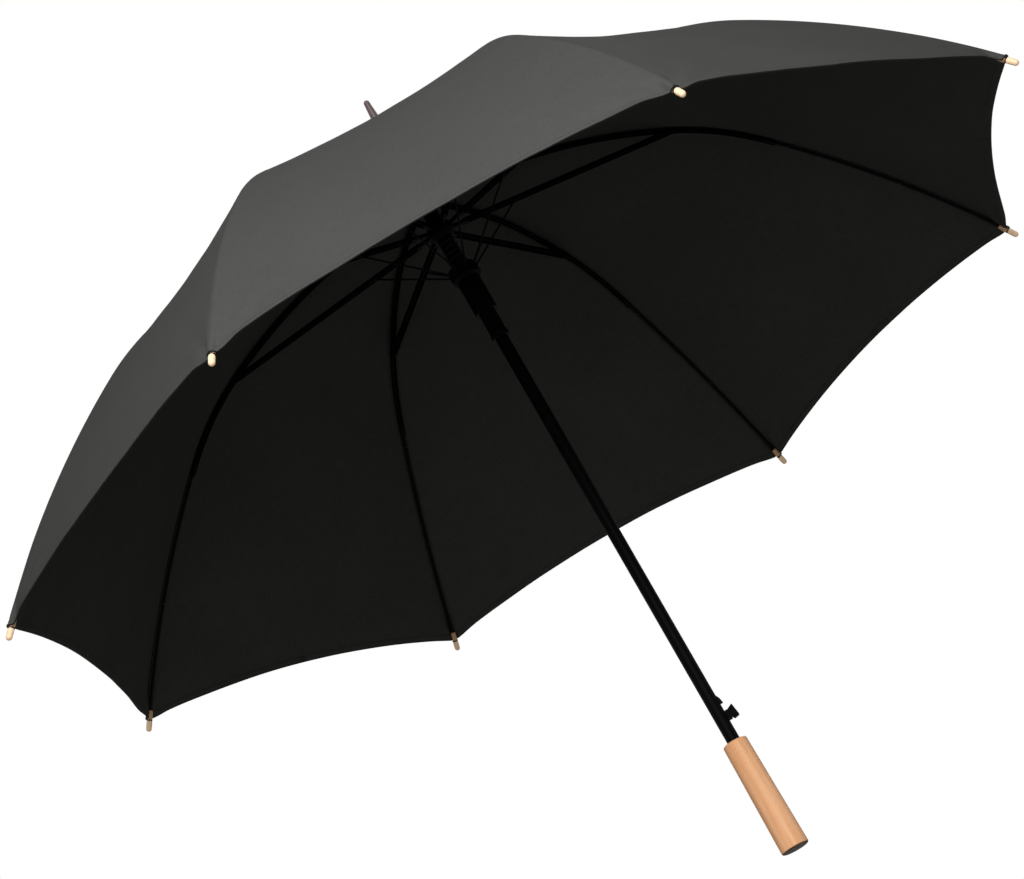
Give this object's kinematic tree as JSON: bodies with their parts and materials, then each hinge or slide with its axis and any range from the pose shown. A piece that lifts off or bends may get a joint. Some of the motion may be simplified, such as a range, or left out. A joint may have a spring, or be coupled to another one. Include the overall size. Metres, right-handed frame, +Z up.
{
  "type": "umbrella",
  "caption": "Open stick umbrella with push-button release: arched panels on folding ribs, braced stretchers, sliding crown and runner, straight turned wooden handle and tapered ferrule",
  "frame": {"origin": "centre of the handle's end face, which is the lowest point of the open umbrella", "axes": "+Z up the shaft to the ferrule; +X towards the push button and the catch, midway between ribs 8 and 1"},
  "size_m": [0.9852, 0.9852, 0.8254],
  "materials": {
    "black_steel": "satin black enamel",
    "rib_steel": "satin black",
    "black_plastic": "moulded, slightly glossy",
    "black_cloth": "fine plain weave",
    "pale_wood": "clear satin lacquer",
    "tip_wood": "clear lacquer",
    "gunmetal": "glossy dark"
  },
  "bodies": {
    "frame": {"shaft": "black_steel", "handle": "pale_wood", "ferrule": "gunmetal", "rosette": "black_cloth", "top_notch": "black_plastic", "notch_wire": "black_steel", "notch_pin": "black_steel", "latch_spring": "black_steel"},
    "rib_1_body": {"rib_1": "rib_steel", "rib_tip_1": "tip_wood", "canopy_panel_1": "black_cloth"},
    "stretcher_1_body": {"stretcher_1": "black_steel"},
    "brace_1_body": {"brace_wire_1": "black_steel"},
    "rib_2_body": {"rib_2": "rib_steel", "rib_tip_2": "tip_wood", "canopy_panel_2": "black_cloth"},
    "stretcher_2_body": {"stretcher_2": "black_steel"},
    "brace_2_body": {"brace_wire_2": "black_steel"},
    "rib_3_body": {"rib_3": "rib_steel", "rib_tip_3": "tip_wood", "canopy_panel_3": "black_cloth"},
    "stretcher_3_body": {"stretcher_3": "black_steel"},
    "brace_3_body": {"brace_wire_3": "black_steel"},
    "rib_4_body": {"rib_4": "rib_steel", "rib_tip_4": "tip_wood", "canopy_panel_4": "black_cloth"},
    "stretcher_4_body": {"stretcher_4": "black_steel"},
    "brace_4_body": {"brace_wire_4": "black_steel"},
    "rib_5_body": {"rib_5": "rib_steel", "rib_tip_5": "tip_wood", "canopy_panel_5": "black_cloth"},
    "stretcher_5_body": {"stretcher_5": "black_steel"},
    "brace_5_body": {"brace_wire_5": "black_steel"},
    "rib_6_body": {"rib_6": "rib_steel", "rib_tip_6": "tip_wood", "canopy_panel_6": "black_cloth"},
    "stretcher_6_body": {"stretcher_6": "black_steel"},
    "brace_6_body": {"brace_wire_6": "black_steel"},
    "rib_7_body": {"rib_7": "rib_steel", "rib_tip_7": "tip_wood", "canopy_panel_7": "black_cloth"},
    "stretcher_7_body": {"stretcher_7": "black_steel"},
    "brace_7_body": {"brace_wire_7": "black_steel"},
    "rib_8_body": {"rib_8": "rib_steel", "rib_tip_8": "tip_wood", "canopy_panel_8": "black_cloth"},
    "stretcher_8_body": {"stretcher_8": "black_steel"},
    "brace_8_body": {"brace_wire_8": "black_steel"},
    "crown_body": {"upper_crown": "black_plastic", "crown_wire": "black_steel", "main_spring": "black_steel"},
    "runner_body": {"lower_runner": "black_plastic", "runner_wire": "black_steel", "runner_sleeve": "black_plastic"},
    "catch_body": {"catch": "black_steel"},
    "button_body": {"push_button": "black_plastic"}
  },
  "joints": [
    {"name": "rib_1_fold", "type": "hinge", "parent": "frame", "child": "rib_1_body", "pos_m": [0.01016, 0.00421, 0.699], "axis": [-0.3827, 0.9239, 0], "range_deg": [0, 61.9], "stiffness_Nm_per_rad": 4, "springref_deg": -68.75, "deforming": ["canopy_panel_1"]},
    {"name": "stretcher_1_turn", "type": "hinge", "parent": "rib_1_body", "child": "stretcher_1_body", "pos_m": [0.24626, 0.102, 0.68382], "axis": [-0.3827, 0.9239, 0], "range_deg": [-123.8, 0]},
    {"name": "rib_2_fold", "type": "hinge", "parent": "frame", "child": "rib_2_body", "pos_m": [0.00421, 0.01016, 0.699], "axis": [-0.9239, 0.3827, 0], "range_deg": [0, 61.9], "deforming": ["canopy_panel_2"]},
    {"name": "stretcher_2_turn", "type": "hinge", "parent": "rib_2_body", "child": "stretcher_2_body", "pos_m": [0.102, 0.24626, 0.68382], "axis": [-0.9239, 0.3827, 0], "range_deg": [-123.8, 0]},
    {"name": "rib_3_fold", "type": "hinge", "parent": "frame", "child": "rib_3_body", "pos_m": [-0.00421, 0.01016, 0.699], "axis": [-0.9239, -0.3827, 0], "range_deg": [0, 61.9], "deforming": ["canopy_panel_3"]},
    {"name": "stretcher_3_turn", "type": "hinge", "parent": "rib_3_body", "child": "stretcher_3_body", "pos_m": [-0.102, 0.24626, 0.68382], "axis": [-0.9239, -0.3827, 0], "range_deg": [-123.8, 0]},
    {"name": "rib_4_fold", "type": "hinge", "parent": "frame", "child": "rib_4_body", "pos_m": [-0.01016, 0.00421, 0.699], "axis": [-0.3827, -0.9239, 0], "range_deg": [0, 61.9], "deforming": ["canopy_panel_4"]},
    {"name": "stretcher_4_turn", "type": "hinge", "parent": "rib_4_body", "child": "stretcher_4_body", "pos_m": [-0.24626, 0.102, 0.68382], "axis": [-0.3827, -0.9239, 0], "range_deg": [-123.8, 0]},
    {"name": "rib_5_fold", "type": "hinge", "parent": "frame", "child": "rib_5_body", "pos_m": [-0.01016, -0.00421, 0.699], "axis": [0.3827, -0.9239, 0], "range_deg": [0, 61.9], "deforming": ["canopy_panel_5"]},
    {"name": "stretcher_5_turn", "type": "hinge", "parent": "rib_5_body", "child": "stretcher_5_body", "pos_m": [-0.24626, -0.102, 0.68382], "axis": [0.3827, -0.9239, 0], "range_deg": [-123.8, 0]},
    {"name": "rib_6_fold", "type": "hinge", "parent": "frame", "child": "rib_6_body", "pos_m": [-0.00421, -0.01016, 0.699], "axis": [0.9239, -0.3827, 0], "range_deg": [0, 61.9], "deforming": ["canopy_panel_6"]},
    {"name": "stretcher_6_turn", "type": "hinge", "parent": "rib_6_body", "child": "stretcher_6_body", "pos_m": [-0.102, -0.24626, 0.68382], "axis": [0.9239, -0.3827, 0], "range_deg": [-123.8, 0]},
    {"name": "rib_7_fold", "type": "hinge", "parent": "frame", "child": "rib_7_body", "pos_m": [0.00421, -0.01016, 0.699], "axis": [0.9239, 0.3827, 0], "range_deg": [0, 61.9], "deforming": ["canopy_panel_7"]},
    {"name": "stretcher_7_turn", "type": "hinge", "parent": "rib_7_body", "child": "stretcher_7_body", "pos_m": [0.102, -0.24626, 0.68382], "axis": [0.9239, 0.3827, 0], "range_deg": [-123.8, 0]},
    {"name": "rib_8_fold", "type": "hinge", "parent": "frame", "child": "rib_8_body", "pos_m": [0.01016, -0.00421, 0.699], "axis": [0.3827, 0.9239, 0], "range_deg": [0, 61.9], "deforming": ["canopy_panel_8"]},
    {"name": "stretcher_8_turn", "type": "hinge", "parent": "rib_8_body", "child": "stretcher_8_body", "pos_m": [0.24626, -0.102, 0.68382], "axis": [0.3827, 0.9239, 0], "range_deg": [-123.8, 0]},
    {"name": "crown_travel", "type": "hinge", "parent": "stretcher_1_body", "child": "crown_body", "pos_m": [0.01016, 0.00421, 0.66864], "axis": [-0.3827, 0.9239, 0], "range_deg": [0, 61.9]},
    {"name": "runner_closing", "type": "slide", "parent": "crown_body", "child": "runner_body", "axis": [0, 0, 1], "range_m": [0, 0.0305], "deforming": ["main_spring"]},
    {"name": "brace_1_turn", "type": "hinge", "parent": "stretcher_1_body", "child": "brace_1_body", "pos_m": [0.07749, 0.0321, 0.67296], "axis": [-0.3827, 0.9239, 0], "range_deg": [0, 27.25]},
    {"name": "brace_2_turn", "type": "hinge", "parent": "stretcher_2_body", "child": "brace_2_body", "pos_m": [0.0321, 0.07749, 0.67296], "axis": [-0.9239, 0.3827, 0], "range_deg": [0, 27.25]},
    {"name": "brace_3_turn", "type": "hinge", "parent": "stretcher_3_body", "child": "brace_3_body", "pos_m": [-0.0321, 0.07749, 0.67296], "axis": [-0.9239, -0.3827, 0], "range_deg": [0, 27.25]},
    {"name": "brace_4_turn", "type": "hinge", "parent": "stretcher_4_body", "child": "brace_4_body", "pos_m": [-0.07749, 0.0321, 0.67296], "axis": [-0.3827, -0.9239, 0], "range_deg": [0, 27.25]},
    {"name": "brace_5_turn", "type": "hinge", "parent": "stretcher_5_body", "child": "brace_5_body", "pos_m": [-0.07749, -0.0321, 0.67296], "axis": [0.3827, -0.9239, 0], "range_deg": [0, 27.25]},
    {"name": "brace_6_turn", "type": "hinge", "parent": "stretcher_6_body", "child": "brace_6_body", "pos_m": [-0.0321, -0.07749, 0.67296], "axis": [0.9239, -0.3827, 0], "range_deg": [0, 27.25]},
    {"name": "brace_7_turn", "type": "hinge", "parent": "stretcher_7_body", "child": "brace_7_body", "pos_m": [0.0321, -0.07749, 0.67296], "axis": [0.9239, 0.3827, 0], "range_deg": [0, 27.25]},
    {"name": "brace_8_turn", "type": "hinge", "parent": "stretcher_8_body", "child": "brace_8_body", "pos_m": [0.07749, -0.0321, 0.67296], "axis": [0.3827, 0.9239, 0], "range_deg": [0, 27.25]},
    {"name": "button_press", "type": "slide", "parent": "frame", "child": "button_body", "axis": [-1, 0, 0], "range_m": [0, 0.0028], "stiffness_N_per_m": 300, "springref_m": -0.004, "deforming": ["latch_spring"]},
    {"name": "catch_press", "type": "slide", "parent": "frame", "child": "catch_body", "axis": [-1, 0, 0], "range_m": [0, 0.0028]}
  ],
  "couplings": [
    {"joint": "stretcher_1_turn", "follows": "rib_1_fold", "ratio": -2},
    {"joint": "rib_2_fold", "follows": "rib_1_fold", "ratio": 1},
    {"joint": "stretcher_2_turn", "follows": "rib_1_fold", "ratio": -2},
    {"joint": "rib_3_fold", "follows": "rib_1_fold", "ratio": 1},
    {"joint": "stretcher_3_turn", "follows": "rib_1_fold", "ratio": -2},
    {"joint": "rib_4_fold", "follows": "rib_1_fold", "ratio": 1},
    {"joint": "stretcher_4_turn", "follows": "rib_1_fold", "ratio": -2},
    {"joint": "rib_5_fold", "follows": "rib_1_fold", "ratio": 1},
    {"joint": "stretcher_5_turn", "follows": "rib_1_fold", "ratio": -2},
    {"joint": "rib_6_fold", "follows": "rib_1_fold", "ratio": 1},
    {"joint": "stretcher_6_turn", "follows": "rib_1_fold", "ratio": -2},
    {"joint": "rib_7_fold", "follows": "rib_1_fold", "ratio": 1},
    {"joint": "stretcher_7_turn", "follows": "rib_1_fold", "ratio": -2},
    {"joint": "rib_8_fold", "follows": "rib_1_fold", "ratio": 1},
    {"joint": "stretcher_8_turn", "follows": "rib_1_fold", "ratio": -2},
    {"joint": "crown_travel", "follows": "rib_1_fold", "ratio": 1},
    {"joint": "runner_closing", "follows": "rib_1_fold", "m_per_rad": 0.028215},
    {"joint": "brace_1_turn", "follows": "rib_1_fold", "ratio": 0.44004},
    {"joint": "brace_2_turn", "follows": "rib_1_fold", "ratio": 0.44004},
    {"joint": "brace_3_turn", "follows": "rib_1_fold", "ratio": 0.44004},
    {"joint": "brace_4_turn", "follows": "rib_1_fold", "ratio": 0.44004},
    {"joint": "brace_5_turn", "follows": "rib_1_fold", "ratio": 0.44004},
    {"joint": "brace_6_turn", "follows": "rib_1_fold", "ratio": 0.44004},
    {"joint": "brace_7_turn", "follows": "rib_1_fold", "ratio": 0.44004},
    {"joint": "brace_8_turn", "follows": "rib_1_fold", "ratio": 0.44004},
    {"joint": "catch_press", "follows": "button_press", "ratio": 1}
  ]
}
